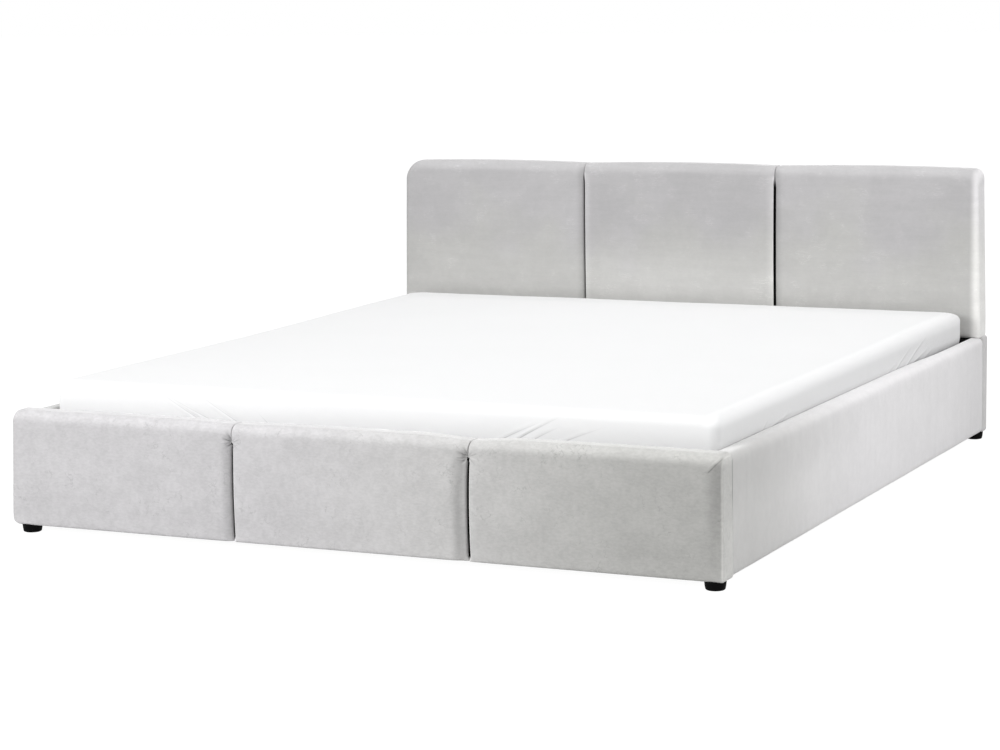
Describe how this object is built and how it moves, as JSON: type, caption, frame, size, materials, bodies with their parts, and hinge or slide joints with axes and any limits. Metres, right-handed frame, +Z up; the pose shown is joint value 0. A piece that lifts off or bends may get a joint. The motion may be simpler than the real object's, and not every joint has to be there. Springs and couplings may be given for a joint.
{
  "type": "ottoman bed",
  "caption": "Upholstered double bed with a padded headboard and a slatted frame that lifts on gas struts over a storage box.",
  "frame": {"origin": "centre of the bed's outer box on the floor", "axes": "+X to the right as seen from the foot end, +Y along the bed from the footboard to the headboard, +Z up"},
  "size_m": [1.91, 2.25, 0.804],
  "materials": {
    "velvet": "light grey velvet over foam",
    "backing_cloth": "board covered with dark backing cloth",
    "glide_plastic": "satin black moulded glide",
    "pine": "planed softwood",
    "floor_board": "thin pale faced hardboard",
    "zinc_steel": "zinc plated steel",
    "painted_steel": "black powder coat",
    "polished_steel": "polished strut rod",
    "buffer_rubber": "black rubber",
    "mattress_ticking": "white knitted ticking over foam",
    "sheet_cotton": "white cotton fitted sheet"
  },
  "bodies": {
    "bed_base": {"headboard_board": "backing_cloth", "headboard_base_panel": "velvet", "headboard_pad_left": "velvet", "headboard_pad_center": "velvet", "headboard_pad_right": "velvet", "footboard_board": "velvet", "footboard_pad_left": "velvet", "footboard_pad_center": "velvet", "footboard_pad_right": "velvet", "side_rail_left": "velvet", "side_rail_right": "velvet", "foot_front_left": "glide_plastic", "foot_front_right": "glide_plastic", "foot_rear_left": "glide_plastic", "foot_rear_right": "glide_plastic", "center_foot": "glide_plastic", "floor_ledge_left": "pine", "floor_ledge_right": "pine", "center_floor_rail": "pine", "storage_floor_left": "floor_board", "storage_floor_right": "floor_board", "corner_bracket_front_left": "zinc_steel", "corner_bracket_front_right": "zinc_steel", "corner_bracket_rear_left": "zinc_steel", "corner_bracket_rear_right": "zinc_steel", "rest_bracket_left": "zinc_steel", "rest_bracket_right": "zinc_steel", "rest_buffer_left": "buffer_rubber", "rest_buffer_right": "buffer_rubber", "hinge_plate_left": "zinc_steel", "hinge_plate_right": "zinc_steel", "hinge_pin_left": "painted_steel", "hinge_pin_right": "painted_steel"},
    "lift_frame": {"frame_side_tube_left": "painted_steel", "frame_side_tube_right": "painted_steel", "frame_foot_tube": "painted_steel", "frame_head_tube": "painted_steel", "frame_center_tube": "painted_steel", "lift_arm_left": "painted_steel", "lift_arm_right": "painted_steel", "slat_01": "pine", "slat_02": "pine", "slat_03": "pine", "slat_04": "pine", "slat_05": "pine", "slat_06": "pine", "slat_07": "pine", "slat_08": "pine", "slat_09": "pine", "slat_10": "pine", "slat_11": "pine", "slat_12": "pine", "mattress": "mattress_ticking", "fitted_sheet": "sheet_cotton", "mattress_stop": "painted_steel"},
    "strut_cylinder_left": {"gas_strut_cylinder_left": "painted_steel"},
    "strut_cylinder_right": {"gas_strut_cylinder_right": "painted_steel"},
    "strut_rod_left": {"gas_strut_rod_left": "polished_steel"},
    "strut_rod_right": {"gas_strut_rod_right": "polished_steel"}
  },
  "joints": [
    {"name": "lift", "type": "hinge", "parent": "bed_base", "child": "lift_frame", "pos_m": [0, 0.85, 0.257], "axis": [-1, 0, 0], "range_deg": [0, 36]},
    {"name": "strut_tilt_left", "type": "hinge", "parent": "bed_base", "child": "strut_cylinder_left", "pos_m": [-0.888, 0.88, 0.097], "axis": [-1, 0, 0], "range_deg": [0, 30]},
    {"name": "strut_tilt_right", "type": "hinge", "parent": "bed_base", "child": "strut_cylinder_right", "pos_m": [0.888, 0.88, 0.097], "axis": [-1, 0, 0], "range_deg": [0, 30]},
    {"name": "strut_extend_left", "type": "slide", "parent": "strut_cylinder_left", "child": "strut_rod_left", "axis": [0, -0.9911, 0.133], "range_m": [0, 0.088]},
    {"name": "strut_extend_right", "type": "slide", "parent": "strut_cylinder_right", "child": "strut_rod_right", "axis": [0, -0.9911, 0.133], "range_m": [0, 0.088]}
  ],
  "couplings": [
    {"joint": "strut_tilt_left", "follows": "lift", "ratio": 0.80942},
    {"joint": "strut_tilt_right", "follows": "lift", "ratio": 0.80942},
    {"joint": "strut_extend_left", "follows": "lift", "m_per_rad": 0.13485},
    {"joint": "strut_extend_right", "follows": "lift", "m_per_rad": 0.13485}
  ]
}
